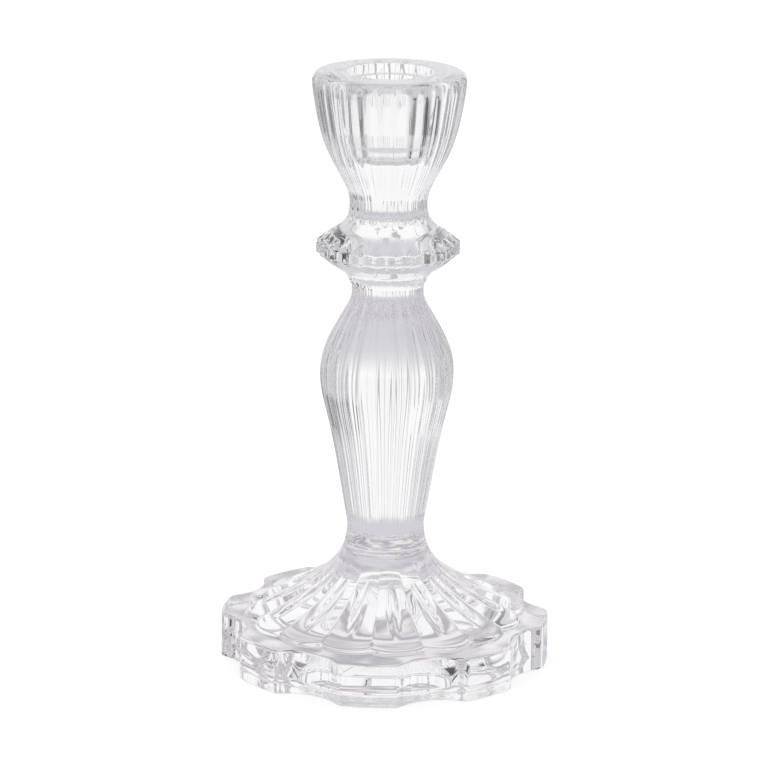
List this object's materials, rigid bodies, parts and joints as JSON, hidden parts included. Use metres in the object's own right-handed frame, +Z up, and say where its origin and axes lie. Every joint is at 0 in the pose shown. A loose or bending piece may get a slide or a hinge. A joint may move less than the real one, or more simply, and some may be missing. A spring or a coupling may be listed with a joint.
{
  "type": "glass candlestick",
  "caption": "Clear pressed-glass candlestick: fluted tulip cup, faceted collar, fluted baluster stem and a petalled dome foot with a lobed rim.",
  "frame": {"origin": "middle of the face it stands on", "axes": "+Z up along the axis, out of the socket; -Y is the front, where a lobe of the foot is centred"},
  "size_m": [0.103, 0.103, 0.187],
  "materials": {
    "clear_glass": "clear, fire-polished pressed glass"
  },
  "bodies": {
    "root": {"candle_cup": "clear_glass", "collar": "clear_glass", "stem": "clear_glass", "foot": "clear_glass"}
  },
  "joints": []
}
